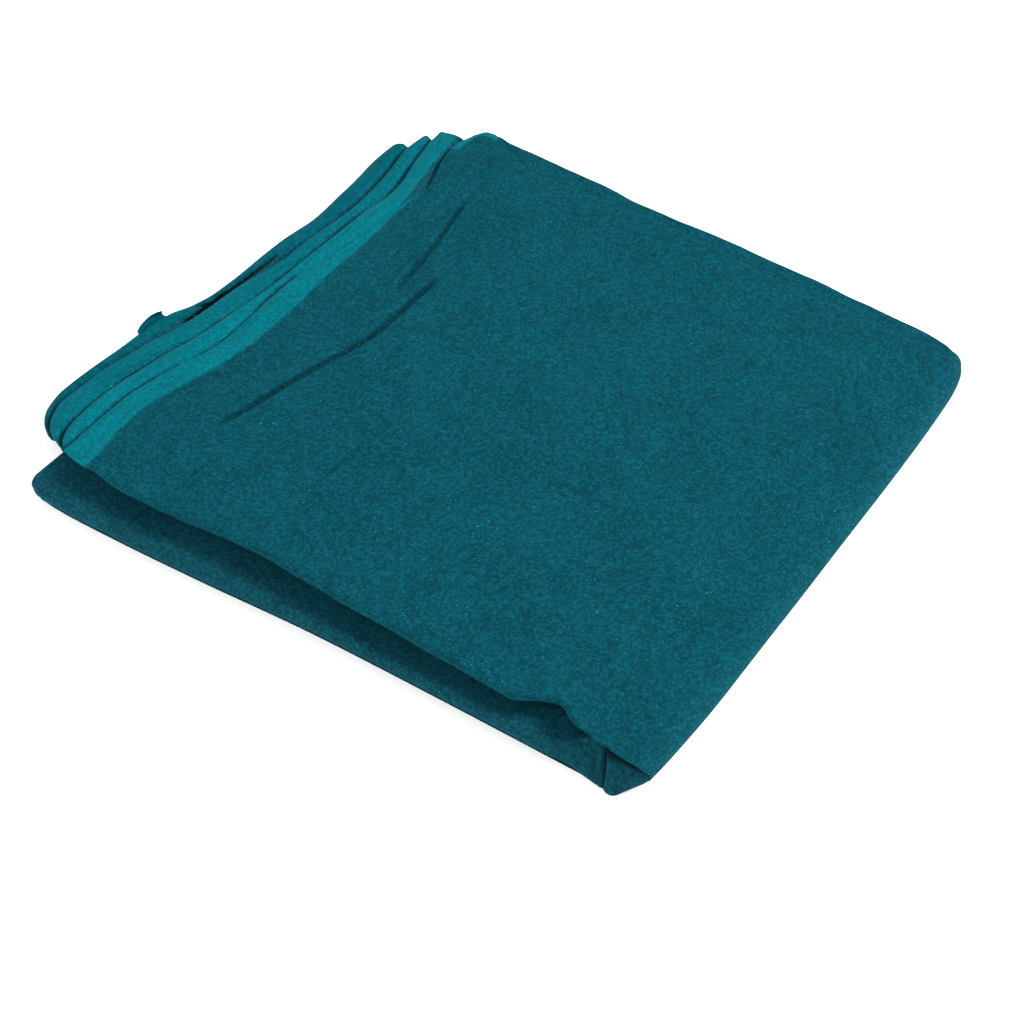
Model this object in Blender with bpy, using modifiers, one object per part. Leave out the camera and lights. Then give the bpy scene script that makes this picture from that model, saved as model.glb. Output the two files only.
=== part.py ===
"""A turban cloth as it is kept: one long length of thin cotton voile, folded into a flat pack.

The width is folded in half, the length in half four times, and the strip then closes like a book with
its spine at +X. At -X the woven turquoise edges of the upper half fan out, each lower ply a little
further. At -Y the lower half sticks out in front, with a mouth between the two halves.
X runs across the folded width, Y along the woven edges, Z up. The pack rests on Z = 0, and the origin is
under its middle. Sizes are in millimetres up to the point where a mesh is made.
"""
import math

import bpy
import numpy as np

MM = 0.001

# The middle of the pack's outline, which becomes the origin: across, along
MIDDLE = (0.1, -1.0)

# Driving sizes of the pack
LOWER_HALF_THICK = 8.6
PACK_THICK = 21.0
SPINE_THICK = 17.4
PLY = 1.0
PLY_GAP = 0.45
PLY_PITCH = PLY + PLY_GAP
CORE_GAP = 0.4
CORE_EASE = 0.45
SPINE_RADIUS = SPINE_THICK / 2
LOWER_ROLL = (LOWER_HALF_THICK - PLY_PITCH) / 2
# The small roll of the top ply's front edge, and the step in from the open ends for each row round it
FRONT_ROLL = 1.9
FRONT_LIP = 0.7
ROW_INSET = 0.8
# The roll loses this share towards the spine and towards the fan: across, from where to where
ROLL_LOSS = 0.85
ROLL_FADES = ((112, 140), (-90, -106))

# Heights of the top face: across, height
TOP_SECTION = (
    (-162, 12.0), (-150, 13.0), (-140, 14.6), (-130, 16.3), (-120, 18.0), (-110, 19.4), (-100, 20.3),
    (-80, PACK_THICK), (40, PACK_THICK - 0.3), (90, 19.8), (125, 18.3), (144, SPINE_THICK),
    (162, SPINE_THICK),
)
# Underside of the upper half, which opens the mouth towards -X: across, height over the lower half
MOUTH_SECTION = ((-162, 3.6), (-110, 3.4), (-40, 2.6), (40, 1.6), (110, 0.8), (140, 0.5))

# Plan of the top ply: across, along
TOP_FRONT = (
    (-119, -130.5), (-111, -133.6), (-84, -134.4), (-59, -132), (-42, -129.5), (-17, -127.4), (28, -127.4),
    (78, -126.4), (101, -126), (112, -120.5), (119, -117.5), (127, -121.5), (140, -123.5),
)
TOP_BACK = (
    (-125, 133), (-113, 141), (-106, 145), (-98, 143), (-85, 137), (-72, 132), (-47, 133.5), (-22, 136),
    (3, 137), (28, 136), (53, 135), (103, 136), (128, 138.5), (142, 140.5),
)
# Plan of the folds behind the top ply's back edge: across, along
BACK_FOLD = (
    (-112, 142), (-108, 145.5), (-102, 147), (-94, 145.5), (-60, 146), (-13, 144.6), (40, 145.8),
    (100, 146.6), (130, 147), (142, 145.8),
)
BACK_START = ((-112, 137.5), (-88, 126), (-60, 124), (142, 124))
# Plan of the lower half: across, along
LOWER_FRONT = (
    (-133, -146), (-127, -148.6), (-118, -149), (-85, -147.2), (-44, -143.6), (14, -137.6), (71, -134),
    (140, -130.4),
)
LOWER_BACK = ((-133, 134), (-118, 139), (0, 142), (100, 144), (140, 143.5))
LOWER_LEFT = -133.0
# Plan of the spine: along, furthest across
SPINE_SIDE = (
    (-132, 158.2), (-117, 160.8), (-90, 162), (16, 162), (88, 160.4), (122, 158.6), (136, 156.4),
    (146, 151.5),
)
# Ends of the spine's roll, from its top round to its underside: degrees round, along
SPINE_FRONT_END = ((0, -125), (45, -123), (90, -118.5), (135, -125), (180, -130))
SPINE_BACK_END = ((0, 140.5), (45, 142), (90, 143.5), (135, 144), (180, 142.5))

# Outer edges of the fanned plies, back to front: across, along
TOP_LEFT_EDGE = (
    (-134, -127), (-123, -127), (-110, -128), (-95, -128), (-79, -125), (-65, -121.4), (-54, -118),
    (-39, -116), (-15, -116.6), (1, -117), (30, -115), (50, -112), (75, -107), (86, -105.3), (95, -108),
    (105, -111.4), (115, -114.2), (125, -116.4), (130, -117), (138, -113.5), (146, -111),
)
SECOND_EDGE = (
    (-115, 138), (-131, 135), (-130, 126), (-127, 112), (-122, 95), (-120.5, 81), (-122.6, 66), (-123, 19),
    (-125.3, -10), (-128.7, -39), (-135.5, -66), (-139.5, -95), (-138.5, -112), (-135, -123), (-130, -128),
    (-124, -130.5),
)
THIRD_EDGE = (
    (-128, 131), (-137.5, 130), (-138.3, 119), (-134.8, 101), (-132, 80), (-131.6, 64), (-133.5, 38),
    (-138, 10), (-142, -6), (-144, -30), (-149, -60), (-153.5, -85), (-154, -104), (-150.5, -115),
    (-143, -123), (-131.5, -127.5),
)
FOURTH_EDGE = (
    (-138, 122.5), (-146.6, 121.5), (-147.8, 114), (-145, 79), (-143.6, 55), (-146.2, 32), (-147.4, -14),
    (-150, -25), (-155.2, -36), (-158.2, -52), (-159.2, -75), (-160, -98), (-157.5, -110), (-151, -119.4),
    (-142, -125), (-131, -127),
)
# The fanned plies: name, outer edge, inner end across, plies below the top one
FANNED_PLIES = (
    ("edge_ply_2", SECOND_EDGE, -91.0, 1),
    ("edge_ply_3", THIRD_EDGE, -92.5, 2),
    ("edge_ply_4", FOURTH_EDGE, -94.0, 3),
)
# Inner end of a fanned ply: in from the top ply's front edge, and along at the back
FAN_TUCK = 3.6
FAN_BACK = 122.0
FAN_ROWS = 26
FAN_SHARES = (0.0, 0.12, 0.3, 0.55, 0.8, 1.0)

# A corner of a low ply that curls up beside the fan: along, reach across; then the curl's radius and turn
CURL_ROWS = ((-51, -158.4), (-48, -159.0), (-44, -159.3), (-40, -159.0), (-36.5, -157.4))
CURL_RADIUS = 1.5
CURL_DEGREES = (0, 45, 90, 135, 170)
CURL_FLAT = (-138, -146, -152)
CURL_LEVEL = 4

# Creases pressed into the top face: depth, half width, then along, across from front to back
CREASES = (
    (1.3, 5.0, ((-92, -84), (-67, -77), (-37, -71), (-17, -66), (3, -62), (23, -62), (40, -63))),
    (1.0, 4.5, ((28, -72), (45, -74), (63, -77), (83, -81.5), (100, -84.5))),
)
CREASE_FADE = 14.0
# The front edge lifts where the mouth gapes near the spine: across, half width, rise
WAVE_AT, WAVE_HALF, WAVE_RISE = 112.0, 13.0, 1.6
WAVE_REACH = 26.0

# Columns and rows of the outer ply: across the top, degrees round the spine, across underneath, shares along
TOP_COLUMNS = (
    -118, -113, -107, -100, -93, -87, -82, -77, -72, -67, -62, -57, -48, -30, -8, 14, 36, 58, 78, 94,
    104, 112, 120, 130, 140,
)
SPINE_DEGREES = (12, 32, 52, 72, 92, 112, 132, 152, 180)
UNDER_COLUMNS = (132, 100, 20, -60, -128)
TOP_ROWS = (0.03, 0.08, 0.14, 0.21, 0.29, 0.37, 0.45, 0.53, 0.61, 0.69, 0.77, 0.84, 0.90, 0.95, 0.98, 1.0)
ROLL_DEGREES = (90, 60, 30, 0)
# The columns up to this one bend to follow the top ply's left edge
BENT_COLUMNS = 4

# Rows and columns of the lower ply, and the last column's room for the tuck: flat part, then each roll
LOWER_DEGREES = (0, 25, 55, 80, 105, 135)
LOWER_COLUMNS = (-126, -118, -100, -70, -35, 0, 40, 80, 115, 138)
LOWER_MEET_TUCK = (2.6, 4.4)
LOWER_SHARES = (0.04, 0.12, 0.3, 0.5, 0.7, 0.88, 0.96)

# Columns of the hidden layers, over the upper half and over the lower half, and of the fold behind them
CORE_TOP = (
    -105, -100, -93, -87, -82, -77, -72, -67, -62, -57, -48, -30, -8, 14, 36, 58, 78, 94, 104, 112, 120,
    130, 141,
)
CORE_LOWER = (143.0,) + LOWER_COLUMNS[-2::-1] + (LOWER_LEFT + LOWER_ROLL,)
BACK_COLUMNS = (-112, -109) + CORE_TOP[:-1] + (137.5,)
BACK_FLAT = (0.0, 0.35, 0.7)
BACK_DEGREES = (0, 30, 60, 90, 120, 150, 180)
# Room that the hidden layers leave: under the fan and at the back corner (across, from where to where), then
# under the back fold and over it (along, from its start or its end), and at the tuck by the spine
CORE_FAN = (-64, -90)
CORE_CORNER, CORE_CORNER_ROOM = (-94, -105), 2.5
CORE_FOLD = (-20, -10)
CORE_LIFT = (-8, -2)
CORE_TUCK, CORE_TUCK_ROOM = (100, 138), 8.5
# The spine's share of the thinning at the rounded ends
CORE_SPINE_THIN = 0.3
CORE_ROWS = (
    0.0, 0.03, 0.08, 0.14, 0.21, 0.29, 0.37, 0.45, 0.53, 0.61, 0.69, 0.77, 0.84, 0.90, 0.94, 0.97, 1.0,
)
CORE_ROUNDS = (35, 65)
CORE_ROUND_OUT = 1.3
# Ledges of the folded plies at the open edges: out, rise
CORE_LEDGES = ((1.6, 0.1), (2.4, 0.3), (1.2, 0.4), (1.6, 0.65), (0.6, 0.75), (0.8, 0.95))
# The same at the mid-fold of the lower half: out, share of its half thickness
CORE_NOSE = ((1.0, -0.7), (1.6, -0.2), (1.2, 0.0), (1.6, 0.25), (1.0, 0.75))
# Tuck at the front end of the spine: its crease from top to foot, then its reach round the spine
TUCK_CREASE = ((141.5, -124.5, 8.6), (147.5, -131.5, 2.4))
TUCK_DEGREES = (58, 165)
TUCK_INSET = 1.0
TUCK_EASE = 0.15
TUCK_BULGE = 0.8
TUCK_ROWS = 7
TUCK_SHARES = (0.0, 0.25, 0.5, 0.75, 1.0)

# Looks of the voile: linear colour, roughness
BODY = ((0.003, 0.085, 0.105, 1), 0.85)
SHADED = ((0.003, 0.055, 0.075, 1), 0.9)
SELVEDGE = ((0.001, 0.215, 0.27, 1), 0.8)


def follow(table, at):
    """Smooth second column of a table at a place in its first column, with no overshoot between its rows."""
    places, values = np.array(table, float).T
    steps = np.diff(places)
    rises = np.diff(values) / steps
    inner = [2 * p * q / (p + q) if p * q > 0 else 0.0 for p, q in zip(rises, rises[1:])]
    slopes = [rises[0], *inner, rises[-1]]
    at = min(max(at, places[0]), places[-1])
    i = int(np.clip(np.searchsorted(places, at) - 1, 0, len(steps) - 1))
    t = (at - places[i]) / steps[i]
    start = (1 + 2 * t) * (1 - t) ** 2 * values[i] + t * (1 - t) ** 2 * steps[i] * slopes[i]
    end = t * t * (3 - 2 * t) * values[i + 1] + t * t * (t - 1) * steps[i] * slopes[i + 1]
    return float(start + end)


def soft(t):
    """Eases from 0 to 1."""
    t = min(max(t, 0.0), 1.0)
    return t * t * (3 - 2 * t)


def ramp(at, start, end):
    """Eases from 0 at the start to 1 at the end, which may lie on either side."""
    return soft((at - start) / (end - start))


def crease_depth(x, y):
    depth = 0.0
    for deep, half, line in CREASES:
        first, last = line[0][0], line[-1][0]
        ends = ramp(y, first, first + CREASE_FADE) * ramp(y, last, last - CREASE_FADE)
        depth += deep * ends * (1 - ramp(abs(x - follow(line, y)), 0, half))
    return depth


def top_height(x, y):
    """Outer face of the top ply, before its front edge rolls over."""
    wave = (1 - ramp(abs(x - WAVE_AT), 0, WAVE_HALF)) * (1 - ramp(y - follow(TOP_FRONT, x), 0, WAVE_REACH))
    return follow(TOP_SECTION, x) + WAVE_RISE * wave - crease_depth(x, y)


def mouth_roof(x):
    return LOWER_HALF_THICK + follow(MOUTH_SECTION, x)


def grid_faces(columns, rows):
    """Quads of a grid whose points run row by row, facing up when columns run +X and rows +Y."""
    faces = []
    for row in range(rows - 1):
        for column in range(columns - 1):
            a = row * columns + column
            faces.append((a, a + 1, a + columns + 1, a + columns))
    return faces


def cloth(name, colour, roughness):
    finish = bpy.data.materials.new(name)
    finish.use_nodes = True
    shader = finish.node_tree.nodes["Principled BSDF"]
    shader.inputs["Base Color"].default_value = colour
    shader.inputs["Roughness"].default_value = roughness
    shader.inputs["Metallic"].default_value = 0.0
    return finish


def add_piece(name, points, faces, look, thickness=0.0):
    """One named piece with its own cloth. A thickness makes an open sheet a wall, inwards from its face."""
    mesh = bpy.data.meshes.new(name)
    mid_x, mid_y = MIDDLE
    mesh.from_pydata([((x - mid_x) * MM, (y - mid_y) * MM, z * MM) for x, y, z in points], [], faces)
    mesh.materials.append(cloth(name + "_voile", *look))
    mesh.shade_smooth()
    piece = bpy.data.objects.new(name, mesh)
    pack.objects.link(piece)
    if thickness:
        wall = piece.modifiers.new("cloth", "SOLIDIFY")
        wall.thickness = thickness * MM
        wall.offset = -1
        wall.use_even_offset = True
    return piece


def roll_share(x):
    """How much of the front edge's roll is left towards the spine and towards the fanned corner."""
    spine_fade, fan_fade = (ramp(x, *fade) for fade in ROLL_FADES)
    return (1 - ROLL_LOSS * spine_fade) * (1 - ROLL_LOSS * fan_fade)


def top_point(column, v, roll, lip=0.0):
    """A point of the top ply at a column and a row, with the front roll in degrees, 90 at its nose."""
    middle_y = follow(TOP_FRONT, column) * (1 - v) + follow(TOP_BACK, column) * v
    reach = ramp(column, TOP_COLUMNS[BENT_COLUMNS], TOP_COLUMNS[0])
    x = column + (follow(TOP_LEFT_EDGE, middle_y) - TOP_COLUMNS[0]) * reach
    radius = FRONT_ROLL * roll_share(x)
    y = (follow(TOP_FRONT, x) + radius) * (1 - v) + follow(TOP_BACK, x) * v
    turn = math.radians(roll)
    z = top_height(x, y) - radius * (1 - math.cos(turn)) - lip * roll_share(x)
    return (x, y - radius * math.sin(turn), z)


def outer_rows():
    """Rows of the outer ply from front to back: share of the depth, roll, lip, step in at the open ends."""
    rows = [(0.0, ROLL_DEGREES[0], FRONT_LIP, 0.0)]
    rows += [(0.0, roll, 0.0, ROW_INSET * (i + 1)) for i, roll in enumerate(ROLL_DEGREES)]
    return rows + [(v, 0, 0.0, rows[-1][3]) for v in TOP_ROWS]


def spine_point(degrees, v, inset=0.0, shrink=0.0):
    """A point of the outer ply round the spine, 0 degrees on top and 180 underneath."""
    y = (follow(SPINE_FRONT_END, degrees) + inset) * (1 - v) + follow(SPINE_BACK_END, degrees) * v
    turn = math.radians(degrees)
    centre = follow(SPINE_SIDE, y) - SPINE_RADIUS
    radius = SPINE_RADIUS - shrink
    return (centre + radius * math.sin(turn), y, SPINE_RADIUS + radius * math.cos(turn))


def under_point(x, v, inset):
    """A point of the outer ply where it lies flat on the surface."""
    y = (follow(LOWER_FRONT, x) + PLY_PITCH + inset) * (1 - v) + (follow(LOWER_BACK, x) - PLY_PITCH) * v
    return (x, y, 0.0)


def make_outer_ply(look):
    """The one ply that covers the top, turns round the spine and lies under the pack."""
    points = []
    rows = outer_rows()
    for v, roll, lip, inset in rows:
        points += [top_point(column, v, roll, lip) for column in TOP_COLUMNS]
        points += [spine_point(degrees, v, inset) for degrees in SPINE_DEGREES]
        points += [under_point(column, v, inset) for column in UNDER_COLUMNS]
    width = len(TOP_COLUMNS) + len(SPINE_DEGREES) + len(UNDER_COLUMNS)
    return add_piece("outer_ply", points, grid_faces(width, len(rows)), look, PLY)


def even_run(corners, count):
    """Points at equal steps along a smooth line through a few corner points."""
    corners = np.array(corners, float)
    steps = np.hypot(*np.diff(corners, axis=0).T)
    travelled = np.concatenate([[0], np.cumsum(steps)])
    places = np.linspace(0, travelled[-1], count)
    across = [follow(np.column_stack([travelled, corners[:, 0]]), at) for at in places]
    along = [follow(np.column_stack([travelled, corners[:, 1]]), at) for at in places]
    return list(zip(across, along))


def make_fanned_ply(name, edge, inner_x, level, look):
    """One ply of the fan, which slips in under the top ply and shows its woven edge."""
    outer = even_run(edge, FAN_ROWS)[::-1]
    inner_front = follow(TOP_FRONT, inner_x) + FAN_TUCK
    points = []
    for row, (edge_x, edge_y) in enumerate(outer):
        inner_y = inner_front + (FAN_BACK - inner_front) * row / (FAN_ROWS - 1)
        for share in FAN_SHARES:
            x = edge_x + (inner_x - edge_x) * share
            y = edge_y + (inner_y - edge_y) * share
            points.append((x, y, top_height(x, y) - level * PLY_PITCH))
    return add_piece(name, points, grid_faces(len(FAN_SHARES), FAN_ROWS), look, PLY)


def make_curl_tab(look):
    """The corner of a ply under the fan, curled up where it stands out."""
    points = []
    for y, reach in CURL_ROWS:
        centre_z = top_height(reach, y) - CURL_LEVEL * PLY_PITCH + CURL_RADIUS
        for degrees in reversed(CURL_DEGREES):
            turn = math.radians(degrees)
            points.append((reach - CURL_RADIUS * math.sin(turn), y, centre_z - CURL_RADIUS * math.cos(turn)))
        points += [(x, y, top_height(x, y) - CURL_LEVEL * PLY_PITCH) for x in reversed(CURL_FLAT)]
    faces = grid_faces(len(CURL_DEGREES) + len(CURL_FLAT), len(CURL_ROWS))
    return add_piece("curl_tab", points, faces, look, PLY)


def back_roll(x):
    """Radius and middle height of the fold at the back of the upper half."""
    top = top_height(x, follow(BACK_FOLD, x)) - PLY_PITCH
    bottom = mouth_roof(x) + CORE_GAP
    return (top - bottom) / 2, (top + bottom) / 2


def make_back_ply(look):
    """The fold that shows behind the top ply's back edge, rolled round the back of the upper half."""
    points = []
    for row in range(len(BACK_FLAT) + len(BACK_DEGREES)):
        for x in BACK_COLUMNS:
            radius, middle = back_roll(x)
            centre = follow(BACK_FOLD, x) - radius
            start = follow(BACK_START, x)
            if row < len(BACK_FLAT):
                y = start + (centre - start) * BACK_FLAT[row]
                points.append((x, y, top_height(x, y) - PLY_PITCH))
            else:
                turn = math.radians(BACK_DEGREES[row - len(BACK_FLAT)])
                points.append((x, centre + radius * math.sin(turn), middle + radius * math.cos(turn)))
    faces = grid_faces(len(BACK_COLUMNS), len(BACK_FLAT) + len(BACK_DEGREES))
    return add_piece("back_ply", points, faces, look, PLY)


def make_lower_ply(look):
    """The ply over the lower half, rolled down over its mid-fold at -X and its folds at both ends."""
    rolls = [degrees / LOWER_DEGREES[-1] for degrees in LOWER_DEGREES]
    columns = [(roll, LOWER_LEFT + LOWER_ROLL) for roll in reversed(rolls)]
    columns += [(0.0, x) for x in LOWER_COLUMNS]
    rows = [(-1, roll, 0.0) for roll in reversed(rolls)]
    rows += [(0, 0.0, share) for share in LOWER_SHARES]
    rows += [(1, roll, 1.0) for roll in rolls]
    points = []
    for side, end_roll, share in rows:
        for left_roll, x in columns:
            far = max(left_roll, end_roll)
            near = min(left_roll, end_roll)
            heading = math.radians(45 * near / far) if far else 0.0
            if end_roll > left_roll:
                heading = math.pi / 2 - heading
            turn = math.radians(far * LOWER_DEGREES[-1])
            out = LOWER_ROLL * math.sin(turn)
            front = follow(LOWER_FRONT, x) + LOWER_ROLL
            back = follow(LOWER_BACK, x) - LOWER_ROLL
            y = front + (back - front) * share + side * out * math.sin(heading)
            z = LOWER_HALF_THICK - LOWER_ROLL * (1 - math.cos(turn))
            if x == LOWER_COLUMNS[-1] and side <= 0:
                x += LOWER_MEET_TUCK[0] * (share == 0) + LOWER_MEET_TUCK[1] * end_roll
            points.append((x - out * math.cos(heading) * (left_roll > 0), y, z))
    return add_piece("lower_ply", points, grid_faces(len(columns), len(rows)), look, PLY)


def core_upper(v, thin, pull):
    """Top and underside of the hidden layers in the upper half, from the open edge to the spine."""
    over, under = [], []
    for x in CORE_TOP:
        front = follow(TOP_FRONT, x) + FRONT_ROLL + PLY
        radius, _ = back_roll(x)
        back = follow(BACK_FOLD, x) - radius - CORE_CORNER_ROOM * ramp(x, *CORE_CORNER)
        y = front + (back - front) * v + pull
        fanned = len(FANNED_PLIES) * PLY_PITCH * ramp(x, *CORE_FAN)
        folded = PLY_PITCH * ramp(y - follow(BACK_START, x), *CORE_FOLD)
        lifted = (PLY_PITCH + CORE_GAP + 2 * CORE_EASE) * ramp(y - back, *CORE_LIFT)
        top = top_height(x, y) - PLY_PITCH - CORE_EASE - max(fanned, folded)
        bottom = mouth_roof(x) + lifted
        over.append((x, y, (top + bottom) / 2 + (top - bottom) / 2 * thin))
        under.append((x, y, (top + bottom) / 2 - (top - bottom) / 2 * thin))
    return over, under


def core_spine(v, thin, pull):
    """Outside of the hidden layers round the spine, from the top to the underside."""
    shrink = PLY_PITCH + CORE_EASE + SPINE_RADIUS * (1 - thin) * CORE_SPINE_THIN
    turned = [spine_point(degrees, v, CORE_TUCK_ROOM, shrink) for degrees in SPINE_DEGREES[:-1]]
    return [(x, y + pull, z) for x, y, z in turned]


def core_lower(v, thin, pull):
    """Underside and top of the hidden layers in the lower half, from the spine to its mid-fold."""
    middle = LOWER_HALF_THICK / 2
    half = (middle - PLY_PITCH - CORE_EASE / 2) * thin
    under, over = [], []
    for x in CORE_LOWER:
        front = follow(LOWER_FRONT, x) + LOWER_ROLL + CORE_TUCK_ROOM * ramp(x, *CORE_TUCK)
        back = follow(LOWER_BACK, x) - LOWER_ROLL
        y = front + (back - front) * v + pull
        under.append((x, y, middle - half))
        over.append((x, y, middle + half))
    left_x, left_y, _ = under[-1]
    nose = [(left_x - out * thin, left_y, middle + half * rise) for out, rise in CORE_NOSE]
    return under, nose, over


def core_loop(v, end, pull):
    """The hidden layers' section at a share of the depth, moved by pull, thinned by the cosine of end."""
    thin = math.cos(end)
    upper, roof = core_upper(v, thin, pull)
    under, nose, over = core_lower(v, thin, pull)
    edge_x, edge_y, edge_top = upper[0]
    edge_foot = roof[0][2]
    deep = edge_top - edge_foot
    ledges = [(edge_x - out * thin, edge_y, edge_foot + deep * rise) for out, rise in CORE_LEDGES]
    return upper + core_spine(v, thin, pull) + under + nose + over[::-1] + roof[::-1] + ledges


def core_caps():
    """Faces that close an end of the hidden layers, each leaf column by column, as places in its loop."""
    top = list(range(len(CORE_TOP)))
    arc = list(range(len(top), len(top) + len(SPINE_DEGREES) - 1))
    under = list(range(arc[-1] + 1, arc[-1] + 1 + len(CORE_LOWER)))
    nose = list(range(under[-1] + 1, under[-1] + 1 + len(CORE_NOSE)))
    over = list(range(nose[-1] + 1, nose[-1] + 1 + len(CORE_LOWER)))
    roof = list(range(over[-1] + 1, over[-1] + 1 + len(CORE_TOP)))
    ledges = list(range(roof[-1] + 1, roof[-1] + 1 + len(CORE_LEDGES)))
    caps = [[top[0], roof[-1], *ledges], [*nose, over[0], under[-1]]]
    caps.append([top[-1], *arc, under[0], over[-1], roof[0]])
    for near, far in ((top, roof[::-1]), (under, over[::-1])):
        caps += [[near[i], near[i + 1], far[i + 1], far[i]] for i in range(len(near) - 1)]
    return caps


def make_folded_core(look):
    """All the hidden plies as one rounded solid with ledges: lower half, spine and upper half."""
    rounds = [math.radians(degrees) for degrees in CORE_ROUNDS]
    sections = [(0.0, end, -CORE_ROUND_OUT * math.sin(end)) for end in reversed(rounds)]
    sections += [(v, 0.0, 0.0) for v in CORE_ROWS]
    sections += [(1.0, end, CORE_ROUND_OUT * math.sin(end)) for end in rounds]
    loops = [core_loop(*section) for section in sections]
    count = len(loops[0])
    points = [point for loop in loops for point in loop]
    faces = []
    for row in range(len(loops) - 1):
        for i in range(count):
            j = (i + 1) % count
            a, b = row * count, (row + 1) * count
            faces.append((a + i, a + j, b + j, b + i))
    last = (len(loops) - 1) * count
    for cap in core_caps():
        faces.append(tuple(reversed(cap)))
        faces.append(tuple(last + i for i in cap))
    return add_piece("folded_core", points, faces, look)


def make_corner_tuck(look):
    """The outer ply's spine end, pinched into a crease and tucked in over the lower half."""
    top_of_crease, foot_of_crease = (np.array(point) for point in TUCK_CREASE)
    points = []
    for row in range(TUCK_ROWS):
        t = row / (TUCK_ROWS - 1)
        degrees = TUCK_DEGREES[0] + (TUCK_DEGREES[1] - TUCK_DEGREES[0]) * t
        outer = np.array(spine_point(degrees, 0.0, TUCK_INSET, PLY_PITCH + TUCK_EASE))
        crease = top_of_crease + (foot_of_crease - top_of_crease) * t
        for share in TUCK_SHARES:
            bulge = np.array((0.0, -TUCK_BULGE * math.sin(math.pi * share), 0.0))
            points.append(tuple(crease + (outer - crease) * share + bulge))
    faces = [face[::-1] for face in grid_faces(len(TUCK_SHARES), TUCK_ROWS)]
    return add_piece("corner_tuck", points, faces, look, PLY)


pack = bpy.data.collections.new("folded_turban")


def main():
    for thing in list(bpy.data.objects):
        bpy.data.objects.remove(thing)
    bpy.context.scene.collection.children.link(pack)
    make_outer_ply(BODY)
    for name, edge, inner_x, level in FANNED_PLIES:
        make_fanned_ply(name, edge, inner_x, level, SELVEDGE)
    make_curl_tab(SELVEDGE)
    make_back_ply(BODY)
    make_lower_ply(SHADED)
    make_corner_tuck(SHADED)
    make_folded_core(SHADED)


main()
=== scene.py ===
import math

import bpy
import numpy as np
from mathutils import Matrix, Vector


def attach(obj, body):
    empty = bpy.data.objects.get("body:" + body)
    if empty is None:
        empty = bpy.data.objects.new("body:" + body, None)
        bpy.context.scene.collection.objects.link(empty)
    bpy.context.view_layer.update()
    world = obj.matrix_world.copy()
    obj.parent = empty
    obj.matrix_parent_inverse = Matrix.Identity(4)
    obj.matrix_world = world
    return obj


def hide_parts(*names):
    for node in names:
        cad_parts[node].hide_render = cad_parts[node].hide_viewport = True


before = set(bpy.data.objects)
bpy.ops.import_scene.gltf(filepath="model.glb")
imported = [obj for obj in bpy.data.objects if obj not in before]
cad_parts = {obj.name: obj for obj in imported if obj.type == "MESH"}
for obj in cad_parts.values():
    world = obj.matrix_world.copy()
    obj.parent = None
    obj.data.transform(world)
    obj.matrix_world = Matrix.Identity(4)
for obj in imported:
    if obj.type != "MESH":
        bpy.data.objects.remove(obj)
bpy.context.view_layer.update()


# The outer cloth: the one stretch of voile that covers the top of the pack, turns round the spine at +X and
# lies under it. It is plain woven cotton, dark teal, with a light woven edge that shows along its left side.
# Its front edge rolls over softly, its back edge lies on the folds behind it. Sizes are in millimetres.
MM = 0.001
# Middle of the pack in these sizes, which becomes the origin
MIDDLE = (0.1, -1.0)
PACK_THICK = 21.0
SPINE_THICK = 17.4
SPINE_RADIUS = SPINE_THICK / 2
PLY_PITCH = 1.45
VOILE = 0.38

# Heights of the top face: across, height
TOP_SECTION = (
    (-162, 12.0), (-150, 13.0), (-140, 14.6), (-130, 16.3), (-120, 18.0), (-110, 19.4), (-100, 20.3),
    (-80, PACK_THICK), (40, PACK_THICK - 0.3), (90, 19.8), (125, 18.3), (144, SPINE_THICK),
    (162, SPINE_THICK),
)
# Plan of the top: across, along
TOP_FRONT = (
    (-127, -130.4), (-119, -132.8), (-111, -134.0), (-84, -134.4), (-59, -132), (-42, -129.5),
    (-17, -127.4), (28, -127.4), (78, -126.4), (101, -126), (112, -120.5), (119, -117.5), (127, -121.5),
    (140, -123.5),
)
TOP_BACK = (
    (-125, 133), (-113, 140.6), (-108.6, 145.2), (-104.5, 145.4), (-98, 143), (-85, 137), (-72, 132),
    (-47, 133.5), (-22, 136), (3, 137), (28, 136), (53, 135), (103, 136), (128, 138.5), (142, 140.5),
)
# Left edge of the top: along, across
TOP_LEFT_EDGE = (
    (-134, -127), (-123, -127), (-110, -128), (-95, -128), (-79, -125), (-65, -121.4), (-54, -118),
    (-39, -116), (-15, -116.6), (1, -117), (30, -115), (50, -112), (75, -107), (86, -105.3), (95, -108),
    (105, -111.4), (115, -114.0), (125, -115.6), (130, -115.2), (135, -113.4), (146, -110.6),
)
# Where the light woven edge gives way to the body: along, across
LIGHT_LIMIT = (
    (-134, -110.0), (-121, -112.2), (-110, -114.4), (-98, -114.6), (-86, -112.8), (-71, -109.2), (-55, -105),
    (-33, -102.2), (-10, -102.4), (23, -104.8), (52, -104.6), (63, -106), (75, -106), (87, -106.5),
    (96, -113), (146, -125),
)
# Plan of the lower half: across, along
LOWER_FRONT = (
    (-133, -146), (-127, -148.6), (-118, -149), (-85, -147.2), (-44, -143.6), (14, -137.6), (71, -134),
    (140, -130.4),
)
LOWER_BACK = ((-133, 134), (-118, 139), (0, 142), (100, 144), (140, 143.5))
# Plan of the spine: along, furthest across. Then the two ends of its roll: degrees round, along
SPINE_SIDE = (
    (-132, 159.6), (-117, 161.9), (-100, 162.8), (-75, 163.4), (-30, 162.8), (16, 162), (88, 160.4),
    (122, 158.6), (136, 156.4), (146, 151.5),
)
SPINE_FRONT_END = ((0, -125), (45, -123.4), (90, -120.6), (135, -119.6), (180, -124))
SPINE_BACK_END = ((0, 140.5), (45, 142), (90, 143.5), (135, 144), (180, 142.5))

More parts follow.
